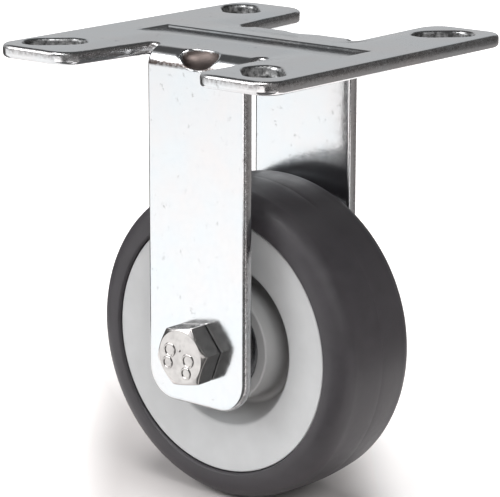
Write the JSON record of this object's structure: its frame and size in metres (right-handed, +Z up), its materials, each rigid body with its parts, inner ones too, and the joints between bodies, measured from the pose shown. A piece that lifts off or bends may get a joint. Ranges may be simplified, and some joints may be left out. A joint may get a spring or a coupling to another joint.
{
  "type": "fixed castor",
  "caption": "Fixed castor with a folded zinc-plated steel bracket, a slotted four-eared plate and a grey wheel with a dark tyre.",
  "frame": {"origin": "on the floor below the middle of the wheel, which is also the middle of the bounding box's bottom", "axes": "+X is the rolling direction, +Y runs along the axle from the bolt head to the nut, +Z is up, out of the mounting plate"},
  "size_m": [0.0794, 0.0864, 0.1069],
  "materials": {
    "zinc_plate": "bright zinc plating",
    "plated_bolt": "plated steel",
    "bearing_steel": "polished steel",
    "shield_steel": "satin",
    "nylon": "matt",
    "pale_grey_plastic": "satin moulded",
    "dark_grey_rubber": "matt moulded"
  },
  "bodies": {
    "bracket": {"fork_bracket": "zinc_plate", "axle_bolt": "plated_bolt", "lock_nut": "plated_bolt", "nut_insert": "nylon", "spacer_tube": "plated_bolt", "near_bush": "plated_bolt", "far_bush": "plated_bolt", "near_inner_race": "bearing_steel", "far_inner_race": "bearing_steel"},
    "wheel": {"wheel_centre": "pale_grey_plastic", "tyre": "dark_grey_rubber", "near_outer_race": "bearing_steel", "near_inside_shield": "shield_steel", "near_outside_shield": "shield_steel", "far_outer_race": "bearing_steel", "far_inside_shield": "shield_steel", "far_outside_shield": "shield_steel"},
    "ball_cages": {"near_ball_cage": "nylon", "near_ball_1": "bearing_steel", "near_ball_2": "bearing_steel", "near_ball_3": "bearing_steel", "near_ball_4": "bearing_steel", "near_ball_5": "bearing_steel", "near_ball_6": "bearing_steel", "near_ball_7": "bearing_steel", "far_ball_cage": "nylon", "far_ball_1": "bearing_steel", "far_ball_2": "bearing_steel", "far_ball_3": "bearing_steel", "far_ball_4": "bearing_steel", "far_ball_5": "bearing_steel", "far_ball_6": "bearing_steel", "far_ball_7": "bearing_steel"}
  },
  "joints": [
    {"name": "wheel_spin", "type": "hinge", "parent": "bracket", "child": "wheel", "pos_m": [0, 0, 0.0375], "axis": [0, 1, 0], "continuous": true},
    {"name": "cage_spin", "type": "hinge", "parent": "bracket", "child": "ball_cages", "pos_m": [0, 0, 0.0375], "axis": [0, 1, 0], "continuous": true}
  ],
  "couplings": [
    {"joint": "cage_spin", "follows": "wheel_spin", "ratio": 0.6319}
  ]
}
